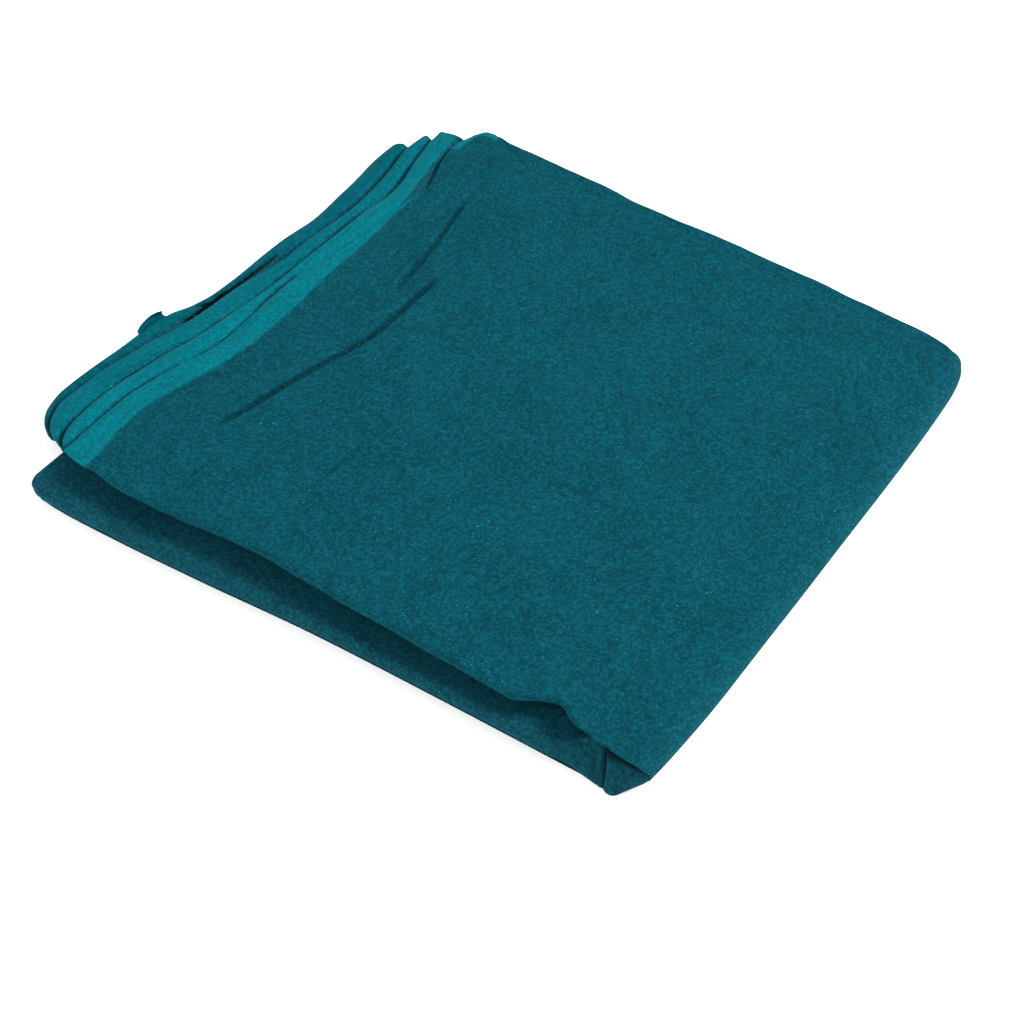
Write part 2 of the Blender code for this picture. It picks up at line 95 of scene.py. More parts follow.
# Creases in the top: depth, half width, then along, across from front to back
CREASES = (
    (2.00, 1.30, ((-96, -85.2), (-67, -77), (-37, -71), (-17, -66), (3, -62.3), (23, -62), (58, -62.4))),
    (1.70, 1.30, ((18, -71.2), (45, -74.8), (63, -77.6), (83, -82.2), (108, -87.6))),
    (0.95, 0.90, ((30, -88.5), (60, -87.5), (102, -87))),
    (0.80, 0.90, ((-12, -86), (5, -87), (27, -88))),
    (1.00, 1.10, ((-104, -26.8), (-69, -25), (-49, -23), (-31, -22))),
    (0.70, 1.10, ((-104, 58.2), (-80, 58), (-57, 57.5), (-30, 57))),
    (0.70, 1.00, ((27, -30.7), (38, -31.6), (56, -32.7))),
    (1.00, 1.00, ((-134, -69.5), (-110, -70.2), (-94, -71))),
    (0.42, 0.95, ((50, -92), (84, -94), (112, -97))),
    (0.42, 0.95, ((-80, -92), (-50, -90), (-15, -92))),
)
# Creases the other way, one from folding and one behind the raised front edge: depth, half width, then
# across, along
CROSS_CREASES = (
    (0.22, 1.8, ((10, -37.4), (38, -37), (62, -36.6))),
    (0.75, 2.0, ((106, -109), (126, -114.4), (150, -117.6), (168, -118))),
)
# A crease fades out over this run at each end, and over more the deeper it is
CREASE_FADE, FADE_WITH_DEPTH = 12.0, 6.0
# Beside its trough the cloth sinks a little on the +X side and rises a little on the other: share of the
# depth, how far off and how wide in half widths
CREASE_SIDES = ((0.22, 1.5, 3.0), (-0.24, -2.6, 2.2))
# Uneven settling of the whole pack: height, wave across, wave along, start
SETTLING = (
    (0.24, 61.0, 83.0, 0.6), (0.17, 37.0, -71.0, 2.1), (0.13, -29.0, 43.0, 4.0), (0.10, 23.0, 97.0, 1.2),
    (0.05, 13.0, -31.0, 0.3),
)
# Room left for it under the pack's full height, and where it ends towards the spine
SETTLING_ROOM = 0.35
SETTLING_ENDS = (90, 140)
# The front edge gapes near the spine: across, half width, rise, how far back
WAVE = (112.0, 13.0, 1.6, 26.0)
# The front edge rolls over in this radius, less so near the spine and near the fanned corner
FRONT_ROLL, FRONT_LIP = 1.9, 0.9
ROLL_LOSS = 0.85
ROLL_FADES = ((112, 140), (-90, -106))
# The left and the back edge sink onto what lies below: depth, over how far in. The left one lies flat again
# from here to there along it, where its back corner begins.
LEFT_DROOP, BACK_DROOP = (0.8, 3.4), (0.35, 4.0)
LEFT_DROOP_ENDS = (62, 84)
# Softness of the light edge's limit, and a second light rim round the back left corner: width from and to,
# then where it starts along and across
LIMIT_SOFT = 2.4
CORNER_RIM = ((2.9, 4.2), (124.0, 127.0), (-98.0, -103.0))
# The trough of a crease takes little light: how much darker, from which depth to which, how far it shifts
CREASE_SHADE, SHADE_DEPTHS, SHADE_SHIFT = 0.52, (0.2, 1.9), 0.5


def follow(table, at):
    """Smooth second column of a table at places in its first column, with no overshoot between rows."""
    places, values = np.array(table, float).T
    steps = np.diff(places)
    rises = np.diff(values) / steps
    near, far = rises[:-1], rises[1:]
    total = np.where(near + far == 0, 1.0, near + far)
    inner = np.where(near * far > 0, 2 * near * far / total, 0.0)
    slopes = np.concatenate([rises[:1], inner, rises[-1:]])
    at = np.clip(at, places[0], places[-1])
    i = np.clip(np.searchsorted(places, at) - 1, 0, len(steps) - 1)
    t = (at - places[i]) / steps[i]
    start = (1 + 2 * t) * (1 - t) ** 2 * values[i] + t * (1 - t) ** 2 * steps[i] * slopes[i]
    return start + t * t * (3 - 2 * t) * values[i + 1] + t * t * (t - 1) * steps[i] * slopes[i + 1]


def ramp(at, start, end):
    """Eases from 0 at the start to 1 at the end, which may lie on either side."""
    t = np.clip((np.asarray(at, float) - start) / (end - start), 0, 1)
    return t * t * (3 - 2 * t)


def creased(x, y, creases, fade=None):
    """How far the creases take the cloth down, each a tight trough with the cloth risen on its -X side."""
    down = np.zeros(np.broadcast(x, y).shape)
    for deep, half, line in creases:
        first, last = line[0][0], line[-1][0]
        run = fade or CREASE_FADE + FADE_WITH_DEPTH * deep
        ends = ramp(y, first, first + run) * ramp(y, last, last - run)
        off = (x - follow(line, y)) / half
        shape = np.exp(-off ** 2)
        for share, beside, wide in CREASE_SIDES:
            shape = shape + share * np.exp(-((off - beside) / wide) ** 2)
        down = down + ends * deep * shape
    return down


def settled(x, y):
    """Slight unevenness of the settled pack, up and down."""
    waves = [
        high * np.sin(2 * math.pi * (x / across + y / along) + start)
        for high, across, along, start in SETTLING
    ]
    return sum(waves)


def top_height(x, y):
    """Face of the top cloth, before its front edge rolls over."""
    at, half, rise, reach = WAVE
    wave = rise * (1 - ramp(abs(x - at), 0, half)) * (1 - ramp(y - follow(TOP_FRONT, x), 0, reach))
    flat = follow(TOP_SECTION, x) - SETTLING_ROOM
    pressed = creased(x, y, CREASES) + creased(y, x, CROSS_CREASES)
    return flat + wave - pressed + settled(x, y) * (1 - ramp(x, *SETTLING_ENDS))


def roll_share(x):
    """How much of the front edge's roll is left towards the spine and towards the fanned corner."""
    spine_fade, fan_fade = (ramp(x, *fade) for fade in ROLL_FADES)
    return (1 - ROLL_LOSS * spine_fade) * (1 - ROLL_LOSS * fan_fade)


def facing(points):
    """Unit normals of a grid of points, up where columns run +X and rows +Y."""
    across = np.gradient(points, axis=1)
    along = np.gradient(points, axis=0)
    normal = np.cross(across, along)
    return normal / np.maximum(np.linalg.norm(normal, axis=2, keepdims=True), 1e-9)


def cloth_mesh(name, sheets, finish):
    """One piece from closed sheets, each a grid of face points with its thickness and cloth coordinates.

    Cloth coordinates: millimetres across and along the cloth, and its share of light edge, painted shade
    below zero."""
    points, faces, coordinates = [], [], []
    start = 0
    for grid, thick, cloth in sheets:
        rows, columns = grid.shape[:2]
        under = grid - facing(grid) * np.broadcast_to(thick, (rows, columns))[..., None]
        points += [grid.reshape(-1, 3), under.reshape(-1, 3)]
        coordinates += [cloth.reshape(-1, 3)] * 2
        index = np.arange(rows * columns).reshape(rows, columns) + start
        quads = np.stack([index[:-1, :-1], index[:-1, 1:], index[1:, 1:], index[1:, :-1]], -1).reshape(-1, 4)
        faces += [quads, quads[:, ::-1] + rows * columns]
        rim = np.concatenate([index[0, :-1], index[:-1, -1], index[-1, :0:-1], index[:0:-1, 0]])
        after = np.roll(rim, -1)
        faces.append(np.stack([after, rim, rim + rows * columns, after + rows * columns], -1))
        start += 2 * rows * columns
    points = (np.concatenate(points) - (*MIDDLE, 0)) * MM
    mesh = bpy.data.meshes.new(name)
    mesh.from_pydata(points.tolist(), [], np.concatenate(faces).tolist())
    mesh.attributes.new("cloth", "FLOAT_VECTOR", "POINT").data.foreach_set(
        "vector", np.concatenate(coordinates).astype(np.float32).ravel()
    )
    mesh.materials.append(finish)
    mesh.shade_smooth()
    mesh.set_sharp_from_angle(angle=math.radians(50))
    piece = bpy.data.objects.new(name, mesh)
    bpy.context.scene.collection.objects.link(piece)
    return piece


def travelled(points, axis):
    """Distance along the cloth from the grid's first row or column."""
    steps = np.linalg.norm(np.diff(points, axis=axis), axis=2)
    start = np.zeros_like(np.take(steps, [0], axis=axis))
    return np.concatenate([start, np.cumsum(steps, axis=axis)], axis=axis)


def spaced(*stretches):
    """Places from limit to limit, each stretch with its own step: limit, step, limit, step, ... limit."""
    places = []
    for low, step, high in zip(stretches[::2], stretches[1::2], stretches[2::2]):
        count = max(1, round(abs(high - low) / step))
        places += list(np.linspace(low, high, count, endpoint=False))
    return np.array(places + [stretches[-1]], float)


# Colours of the dyed cotton, linear, and its threads' pitch in millimetres
BODY_TEAL = (0.0012, 0.0440, 0.0610)
EDGE_TURQUOISE = (0.0002, 0.1080, 0.1380)
WARP_PITCH, WEFT_PITCH = 0.98, 1.04
THREAD_WANDER = 1.6
# How much darker and lighter the cloth gets: over a thread's round, between threads, from crossing to
# crossing, from the yarn's own grain, and in soft clouds of uneven dye
THREAD_SHADE, TONE_SHADE, CROSSING_SHADE = (-0.30, 0.26), (-0.09, 0.11), (-0.16, 0.50)
GRAIN_SHADE, CLOUD_SHADE = (-0.05, 0.14), (-0.09, 0.09)
# The light edge's streaks, its soft limit, and the share of the weave's contrast that is left on it
STREAK_DYES = (0.88, 1.10)
LIMIT_SHARES = (0.14, 0.86)
EDGE_CONTRAST = 0.6
# Neps: how many to the millimetre, radius from and to as a share of their spacing, how gathered, how pale
NEPS = ((0.42, 0.06, 0.16, 0.48, 0.34), (0.13, 0.03, 0.070, 0.53, 0.45))
NEP_PALE = (0.055, 0.30, 0.34)
COTTON_ROUGH, COTTON_GLOSS = 0.85, 0.03
WEAVE_BUMP = 0.00016


def voile(name, body, edge):
    """Plain-woven cotton voile: over and under threads, neps, uneven dye, a light woven edge and painted
    shade.
    """
    finish = bpy.data.materials.new(name)
    finish.use_nodes = True
    tree = finish.node_tree
    shader = tree.nodes["Principled BSDF"]

    def wire(socket, value):
        if isinstance(value, bpy.types.NodeSocket):
            tree.links.new(value, socket)
        else:
            socket.default_value = value

    def calculate(operation, *values):
        step = tree.nodes.new("ShaderNodeMath")
        step.operation = operation
        for socket, value in zip(step.inputs, values):
            wire(socket, value)
        return step.outputs[0]

    def vector(x, y, z=0.0):
        joined = tree.nodes.new("ShaderNodeCombineXYZ")
        for socket, value in zip(joined.inputs, (x, y, z)):
            wire(socket, value)
        return joined.outputs[0]

    def noise(place, scale, detail=2.0, rough_by=0.5):
        made = tree.nodes.new("ShaderNodeTexNoise")
        wire(made.inputs["Vector"], place)
        wire(made.inputs["Scale"], scale)
        wire(made.inputs["Detail"], detail)
        wire(made.inputs["Roughness"], rough_by)
        return made.outputs[0]

    def between(value, low, high, to_low=0.0, to_high=1.0, smooth=True):
        made = tree.nodes.new("ShaderNodeMapRange")
        made.interpolation_type = "SMOOTHSTEP" if smooth else "LINEAR"
        for key, given in (
            ("Value", value), ("From Min", low), ("From Max", high), ("To Min", to_low), ("To Max", to_high),
        ):
            wire(made.inputs[key], given)
        return made.outputs[0]

    def mixed(share, first, second, kind="MIX"):
        made = tree.nodes.new("ShaderNodeMix")
        made.data_type = "RGBA"
        made.blend_type = kind
        wire(made.inputs["Factor"], share)
        for socket, value in zip((made.inputs[6], made.inputs[7]), (first, second)):
            wire(socket, (*value, 1.0) if isinstance(value, tuple) else value)
        return made.outputs[2]

    place = tree.nodes.new("ShaderNodeAttribute")
    place.attribute_name = "cloth"
    split = tree.nodes.new("ShaderNodeSeparateXYZ")
    wire(split.inputs[0], place.outputs["Vector"])
    across, along, edge_and_shade = split.outputs

    # Threads wander a little, so the weave is never a perfect grid
    wander = calculate("MULTIPLY", noise(vector(across, along), 0.035, 2.0), THREAD_WANDER)
    warp_at = calculate("DIVIDE", calculate("ADD", across, wander), WARP_PITCH)
    weft_at = calculate("DIVIDE", calculate("SUBTRACT", along, wander), WEFT_PITCH)
    warp_turn = calculate("SINE", calculate("MULTIPLY", warp_at, math.pi))
    weft_turn = calculate("SINE", calculate("MULTIPLY", weft_at, math.pi))
    over = between(calculate("MULTIPLY", warp_turn, weft_turn), -0.25, 0.25)
    warp_round = calculate("ABSOLUTE", warp_turn)
    weft_round = calculate("ABSOLUTE", weft_turn)
    warp_over = calculate("MULTIPLY", over, warp_round)
    weft_over = calculate("MULTIPLY", calculate("SUBTRACT", 1.0, over), weft_round)
    thread_up = calculate("ADD", warp_over, weft_over)
    warp_share = calculate("MULTIPLY", warp_round, 0.55)
    warp_lines = calculate("ADD", calculate("MULTIPLY", thread_up, 0.45), warp_share)

    # Each thread has its own dye along its length, and each crossing its own shade
    warp_number, weft_number = calculate("FLOOR", warp_at), calculate("FLOOR", weft_at)
    warp_place = vector(calculate("MULTIPLY", warp_number, 0.73), calculate("MULTIPLY", along, 0.09))
    weft_place = vector(calculate("MULTIPLY", weft_number, 0.73), calculate("MULTIPLY", across, 0.09), 7.0)
    warp_tone = noise(warp_place, 1.0, 1.0)
    weft_tone = noise(weft_place, 1.0, 1.0)
    tone = calculate("ADD", calculate("MULTIPLY", warp_tone, 0.5), calculate("MULTIPLY", weft_tone, 0.5))
    crossing = tree.nodes.new("ShaderNodeTexWhiteNoise")
    crossing.noise_dimensions = "2D"
    wire(crossing.inputs["Vector"], vector(warp_number, weft_number))
    grain = noise(vector(across, along, 3.0), 0.75, 2.0, 0.7)
    cloudy = noise(vector(across, along, 5.0), 0.035, 3.0, 0.5)
    rounds = between(warp_lines, 0.1, 1.0, *THREAD_SHADE)
    bright = calculate("ADD", rounds, between(tone, 0.35, 0.65, *TONE_SHADE))
    for source, low, high, shades in (
        (crossing.outputs["Value"], 0.30, 1.0, CROSSING_SHADE), (grain, 0.35, 0.68, GRAIN_SHADE),
        (cloudy, 0.3, 0.7, CLOUD_SHADE),
    ):
        bright = calculate("ADD", bright, between(source, low, high, *shades, False))

    # The woven edge is another dye: its limit is soft, with a few threads of each side in the other
    streak_place = vector(calculate("MULTIPLY", across, 0.9), calculate("MULTIPLY", along, 0.014), 2.0)
    streaks = noise(streak_place, 1.0, 3.0, 0.6)
    darker, lighter = (tuple(share * c for c in edge) for share in STREAK_DYES)
    edge_dye = mixed(between(streaks, 0.3, 0.7), darker, lighter)
    limit = calculate("ADD", edge_and_shade, between(streaks, 0.2, 0.8, -0.07, 0.07))
    dyed = mixed(between(limit, *LIMIT_SHARES), body, edge_dye)
    contrast = between(limit, *LIMIT_SHARES, 1.0, EDGE_CONTRAST)
    bright = calculate("ADD", calculate("MULTIPLY", bright, contrast), 1.0)

    # Below zero the same value tells how deep a pressed crease or slot is, as little light comes out of it
    bright = calculate("MULTIPLY", bright, between(edge_and_shade, -1.0, 0.0, 0.10, 1.0))
    shade = vector(bright, bright, bright)
    dyed = mixed(1.0, dyed, shade, "MULTIPLY")

    # Small pale knots of fibre caught in the yarn, many faint ones and a few that stand out
    for scale, near, far, gathered, pale in NEPS:
        knots = tree.nodes.new("ShaderNodeTexVoronoi")
        wire(knots.inputs["Vector"], vector(across, along, 40.0 * scale))
        wire(knots.inputs["Scale"], scale)
        inside = between(knots.outputs["Distance"], far, near)
        patches = noise(vector(across, along, 11.0 * scale), 0.085, 1.0)
        chosen = between(patches, gathered, gathered + 0.06)
        spot = calculate("MULTIPLY", calculate("MULTIPLY", inside, chosen), pale)
        dyed = mixed(spot, dyed, NEP_PALE)
    wire(shader.inputs["Base Color"], dyed)

    # Threads and fibres as a fine relief, and cotton's dull finish with a little sheen at the edges
    fibre = noise(vector(across, along, 13.0), 2.4, 2.0)
    raised = calculate("ADD", thread_up, calculate("MULTIPLY", fibre, 0.7))
    raised = calculate("ADD", raised, calculate("MULTIPLY", tone, 0.8))
    bump = tree.nodes.new("ShaderNodeBump")
    bump.inputs["Strength"].default_value = 0.42
    bump.inputs["Distance"].default_value = WEAVE_BUMP
    wire(bump.inputs["Height"], raised)
    wire(shader.inputs["Normal"], bump.outputs["Normal"])
    shader.inputs["Roughness"].default_value = COTTON_ROUGH
    shader.inputs["Specular IOR Level"].default_value = COTTON_GLOSS
    shader.inputs["Sheen Weight"].default_value = 0.05
    shader.inputs["Sheen Roughness"].default_value = 0.45
    shader.inputs["Sheen Tint"].default_value = (0.05, 0.62, 0.62, 1.0)
    return finish


body_voile = voile("voile_body", BODY_TEAL, EDGE_TURQUOISE)

# Places of the cloth's columns and rows, close together where it is creased or turns
TOP_COLUMNS = spaced(
    -118, 0.9, -98, 0.45, -58, 1.4, -36, 0.6, -20, 3.6, 54, 0.75, 62, 3.6, 96, 1.7, 140,
)
SPINE_DEGREES = spaced(7, 7, 180)
UNDER_COLUMNS = spaced(138, 8, -127.5)
ROLL_DEGREES = spaced(105, 15, 0)
TOP_ROWS = spaced(0.004, 0.008, 0.10, 0.0066, 0.95, 0.006, 1.0)
# From here out the columns bend to follow the left edge
BENT_LIMIT = -100.0
# The cloth is drawn in a little at the spine's open ends
ENDS_DRAWN = 0.25


def spine_line(degrees, v, front_in=0.0, shrink=0.0, ends_in=0.0):
    """Round the spine, 0 degrees on top and 180 underneath."""
    front = follow(SPINE_FRONT_END, degrees) + front_in + ends_in
    back = follow(SPINE_BACK_END, degrees) - ends_in
    y = front * (1 - v) + back * v
    turn = np.radians(degrees)
    centre = follow(SPINE_SIDE, y) - SPINE_RADIUS
    uneven = 1 + 0.5 * np.sin(y / 17.0 + 1) * np.sin(y / 41.0)
    radius = SPINE_RADIUS - shrink - 0.2 * np.sin(turn) * uneven
    z = SPINE_RADIUS + radius * np.cos(turn)
    return np.stack([centre + radius * np.sin(turn), y + 0 * turn, z], -1)


def outer_face():
    """Face points of the outer cloth, its share of light edge less painted crease shade, in rows from front
    to back.
    """
    rows = [(0.0, ROLL_DEGREES[0], FRONT_LIP)] + [(0.0, roll, 0.0) for roll in ROLL_DEGREES]
    rows += [(v, 0.0, 0.0) for v in TOP_ROWS]
    grid, edge_and_shade = [], []
    inset = 0.0
    for v, roll, lip in rows:
        near_y = follow(TOP_FRONT, TOP_COLUMNS) * (1 - v) + follow(TOP_BACK, TOP_COLUMNS) * v
        bent = ramp(TOP_COLUMNS, BENT_LIMIT, TOP_COLUMNS[0])
        x = TOP_COLUMNS + (follow(TOP_LEFT_EDGE, near_y) - TOP_COLUMNS[0]) * bent
        radius = FRONT_ROLL * roll_share(x)
        y = (follow(TOP_FRONT, x) + radius) * (1 - v) + follow(TOP_BACK, x) * v
        turn = math.radians(roll)
        to_edge = x - x[0]
        to_back = follow(TOP_BACK, x) - y
        left_droop = LEFT_DROOP[0] * (1 - ramp(to_edge, 0, LEFT_DROOP[1]))
        back_droop = BACK_DROOP[0] * (1 - ramp(to_back, 0, BACK_DROOP[1]))
        droop = left_droop * (1 - 0.9 * ramp(y, *LEFT_DROOP_ENDS)) + back_droop
        z = top_height(x, y) - radius * (1 - math.cos(turn)) - lip * roll_share(x) - droop
        top = np.stack([x, y - radius * math.sin(turn), z], -1)
        ends = ENDS_DRAWN * (1 - ramp(v, 0.0, 0.02))
        spine = spine_line(SPINE_DEGREES, v, inset, 0.0, ends)
        front = follow(LOWER_FRONT, UNDER_COLUMNS) + PLY_PITCH + inset
        under_y = front * (1 - v) + (follow(LOWER_BACK, UNDER_COLUMNS) - PLY_PITCH) * v
        under = np.stack([UNDER_COLUMNS, under_y, np.zeros_like(under_y)], -1)
        grid.append(np.concatenate([top, spine, under]))
        edge = follow(LIGHT_LIMIT, y) - x
        wide, from_y, from_x = CORNER_RIM
        rim = (1 - ramp(np.minimum(to_edge, to_back), *wide)) * ramp(y, *from_y) * ramp(x, *from_x)
        # Painted shade in the creases' troughs, taken off the share of light edge
        pressed = creased(x + SHADE_SHIFT, y, CREASES)
        share = np.maximum(ramp(edge, -LIMIT_SOFT, LIMIT_SOFT), rim)
        share = share - CREASE_SHADE * ramp(pressed, *SHADE_DEPTHS)
        edge_and_shade.append(np.concatenate([share, np.zeros(len(SPINE_DEGREES) + len(UNDER_COLUMNS))]))
        if roll > 0:
            inset += 0.5
    return np.array(grid), np.array(edge_and_shade)


grid, edge_and_shade = outer_face()
coordinates = np.stack([travelled(grid, 1), travelled(grid, 0), edge_and_shade], -1)
outer_cloth = cloth_mesh("outer_cloth", [(grid, VOILE, coordinates)], body_voile)
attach(outer_cloth, "root")
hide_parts("outer_ply")


# The fan: the woven edges of the plies under the top one, each a little further out. They are the same voile,
# all within its light woven edge, thin and slack, so they lie close on each other in soft lengthwise ripples.
# Edge of each group in plan, from the back to the front: across, along
FIRST_EDGE = (
    (-106, 118), (-108, 112), (-107, 100), (-106, 86), (-108, 70), (-112.5, 50), (-115.4, 30), (-117.4, 1),
    (-117, -15), (-116.4, -39), (-118.4, -54), (-121.8, -65), (-125.4, -79), (-128.4, -95), (-128.4, -110),
    (-127.4, -123), (-123, -129.5),
)
SECOND_EDGE = (
    (-113, 134.5), (-116, 136.4), (-122.6, 137), (-131.9, 138.4), (-131.2, 130.5), (-127, 112), (-122, 95),
    (-120.5, 81), (-122.6, 66), (-123, 19), (-125.3, -10), (-128.7, -39), (-135.5, -66), (-139.5, -95),
    (-138.5, -112), (-135, -123), (-130, -128), (-124, -130.5),
)
THIRD_EDGE = (
    (-129, 133.5), (-138.6, 131.8), (-139.0, 121), (-134.8, 101), (-132, 80), (-131.6, 64), (-133.5, 38),
    (-138, 10), (-142, -6), (-144, -30), (-149, -60), (-153.5, -85), (-154, -104), (-150.5, -115),
    (-143, -123), (-131.5, -127.5),
)
FOURTH_EDGE = (
    (-139, 123), (-148.8, 121.8), (-149.2, 113), (-145.6, 79), (-143.6, 55), (-146.2, 32), (-147.4, -14),
    (-150, -25), (-155.2, -36), (-158.2, -52), (-159.2, -75), (-160, -98), (-157.5, -110), (-151, -119.4),
    (-142, -123.8), (-133, -124.6),
)
# Plies of the fan: name, outer edge, further out, unevenness, inner end across, depth under the top, its node
FAN = (
    ("fan_1a", FIRST_EDGE, -0.3, 0.4, -90.0, 0.50, "edge_ply_2"),
    ("fan_1b", FIRST_EDGE, -0.9, 0.5, -90.5, 0.97, "edge_ply_2"),
    ("fan_2", SECOND_EDGE, 0.0, 0.0, -91.0, 1.45, "edge_ply_2"),
    ("fan_2a", SECOND_EDGE, -0.5, 0.5, -91.5, 1.93, "edge_ply_2"),
    ("fan_2b", SECOND_EDGE, -1.1, 0.7, -92.0, 2.41, "edge_ply_2"),
    ("fan_3", THIRD_EDGE, 0.0, 0.0, -92.5, 2.90, "edge_ply_3"),
    ("fan_3a", THIRD_EDGE, -0.5, 0.6, -93.0, 3.38, "edge_ply_3"),
    ("fan_3b", THIRD_EDGE, -1.2, 0.9, -93.5, 3.86, "edge_ply_3"),
    ("fan_4", FOURTH_EDGE, 0.0, 0.0, -94.0, 4.35, "edge_ply_4"),
    ("fan_4a", FOURTH_EDGE, -0.8, 0.6, -94.5, 4.83, "edge_ply_4"),
    ("fan_4b", FOURTH_EDGE, -1.9, 0.9, -95.0, 5.31, "edge_ply_4"),
)
FAN_PLY = 0.30
FAN_TUCK, FAN_BACK = 3.6, 122.0
# Rows along each ply, twice as many where the slots show, and places across it from its edge inwards
FAN_ROWS = 130
FAN_SHARES = np.concatenate([np.linspace(0, 0.58, 66), np.linspace(0.63, 1.0, 6)])
# Each ply's edge droops by this much over this run, and more at the front corner, where it turns down
EDGE_DROOP, CORNER_DROOP, CORNER_FROM = (0.75, 2.4), 1.3, (-118, -130)
# Width of the light woven edge on the two upper groups and on the two outer ones
UPPER_SELVEDGE, OUTER_SELVEDGE = 17.0, 13.0
# A ply lies in a groove beside the edge above it and puffs up from there to its own edge: how deep, how far
# off, half width, puff
GROOVE, GROOVE_AT, GROOVE_HALF, PUFF = 2.3, 1.5, 1.7, 1.2
# Which edge lies over which, and the depth under the top from which a ply takes the groove
GROUPS = ((1.2, TOP_LEFT_EDGE, SECOND_EDGE), (2.6, SECOND_EDGE, THIRD_EDGE), (4.1, THIRD_EDGE, FOURTH_EDGE))
GROUP_THICK = 1.4
# Slots where the outermost group parts: depth, half width, then along, across
SLOTS = (
    (1.6, 0.70, ((-36, -150.6), (-25, -147.6), (-14, -144.4), (1.5, -142.3), (22.5, -139.6), (32, -138.6))),
    (1.4, 0.55, ((-44, -147.6), (-37.8, -147.0), (-25, -145.4), (-11.5, -144.7), (-2, -144.0))),
)
SLOT_FADE = 18.0
# There the third group's edge is pulled in: along, from where to where at each end, and how far
SLOT_OPEN = ((-58, -44), (36, 20), 2.8)
# Where the top's edge lies flush on the ply below, with no groove: along, from where to where at each end.
# The ply below is lifted to it there.
FLUSH = ((4, 24), (103, 86))
FLUSH_LIFT = 1.0
# Grooves and slots take little light: how much darker, from which depth to which
GROOVE_SHADE, SLOT_SHADE = (0.22, 0.5, 1.05), (1.7, 0.35, 1.0)


def even_run(corners, count):
    """Points at equal steps along a smooth line through a few corner points."""
    corners = np.array(corners, float)
    steps = np.concatenate([[0], np.cumsum(np.hypot(*np.diff(corners, axis=0).T))])
    places = np.linspace(0, steps[-1], count)
    return np.stack([follow(np.column_stack([steps, corners[:, i]]), places) for i in (0, 1)], -1)


def fan_ripple(x, y):
    """Soft lengthwise ripples that all the fanned plies share, fading in towards their edges."""
    place = x + 4.0 * np.sin(y / 47.0) - 0.05 * y
    fine = 0.03 * np.sin(place / 1.15 + 1.6 * np.sin(y / 29.0))
    return ramp(x, -112, -122) * (fine + 0.11 * np.sin(place / 2.3 + 0.9 * np.sin(y / 53.0 + 1)))


def edge_at(edge, y):
    """Across place of a fan edge at a place along it."""
    return follow([(along, across) for across, along in reversed(edge)], y)


def pressed_edges(x, y, depth):
    """How far a ply is pressed down beside each edge that lies on it, and how deep in a groove that is."""
    down, grooved = np.zeros(x.shape), np.zeros(x.shape)
    for at, upper, own in GROUPS:
        if depth < at:
            continue
        line = follow(upper, y) if upper is TOP_LEFT_EDGE else edge_at(upper, y)
        off = line - 0.25 - x
        share = 0.85 + 0.25 * np.sin(y / 23.0 + 2 * at) * np.sin(y / 9.5 + at)
        beside, half = GROOVE_AT, GROOVE_HALF
        if upper is TOP_LEFT_EDGE:
            flush = ramp(y, *FLUSH[0]) * ramp(y, *FLUSH[1])
            behind = ramp(y, *FLUSH[1][::-1])
            share = share * (1 - flush) * (1 - 0.5 * behind)
            beside, half = GROOVE_AT - 1.1 * behind, GROOVE_HALF - 0.9 * behind
            if depth < GROUPS[1][0]:
                down = down - FLUSH_LIFT * flush * ramp(off, -2.5, -0.4) * (1 - ramp(off, 4, 12))
        half = np.where(off > beside, half * (1 + 0.25 * np.sin(y / 17.0 + at)), 3.0)
        groove = share * np.exp(-((off - beside) / half) ** 2)
        down = down + GROOVE * groove
        grooved = np.maximum(grooved, groove)
        if depth < at + GROUP_THICK:
            wide = np.maximum(line - edge_at(own, y), 2.0)
            down = down - PUFF * np.sin(math.pi * np.clip(off / wide, 0, 1))
    return down, grooved


